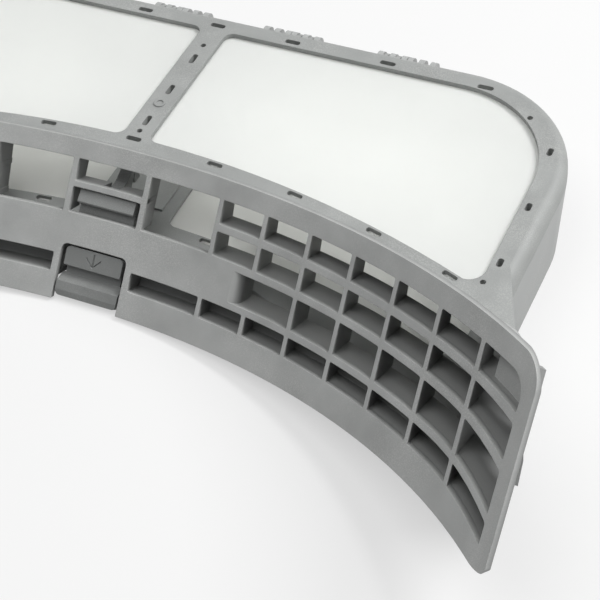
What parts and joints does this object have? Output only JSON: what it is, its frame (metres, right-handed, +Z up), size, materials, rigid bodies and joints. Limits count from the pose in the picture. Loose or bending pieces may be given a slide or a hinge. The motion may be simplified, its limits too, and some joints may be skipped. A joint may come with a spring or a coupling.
{
  "type": "tumble dryer lint filter",
  "caption": "Wide dryer lint filter: a curved louvred grille in front of a flat mesh pocket whose upper frame hinges open.",
  "frame": {"origin": "on the rest rim, in the middle plane, below the hinge side of the pocket", "axes": "+X along the width, +Y from the curved grille towards the hinge, +Z up from the rest plane"},
  "size_m": [0.4236, 0.2517, 0.0931],
  "materials": {
    "grille_grey": "matt",
    "frame_grey": "matt",
    "latch_grey": "matt",
    "mesh_white": "fine woven mesh"
  },
  "bodies": {
    "base": {"grille": "grille_grey", "lower_frame": "frame_grey", "lower_mesh_left": "mesh_white", "lower_mesh_right": "mesh_white"},
    "lid": {"upper_frame": "frame_grey", "upper_mesh_left": "mesh_white", "upper_mesh_right": "mesh_white"},
    "latch": {"latch_slider": "latch_grey"}
  },
  "joints": [
    {"name": "lid_hinge", "type": "hinge", "parent": "base", "child": "lid", "pos_m": [0, 0.01298, 0.031], "axis": [-1, 0, 0], "range_deg": [0, 95]},
    {"name": "latch_slide", "type": "slide", "parent": "base", "child": "latch", "axis": [0, -0.6899, -0.7239], "range_m": [0, 0.0035], "stiffness_N_per_m": 400}
  ]
}
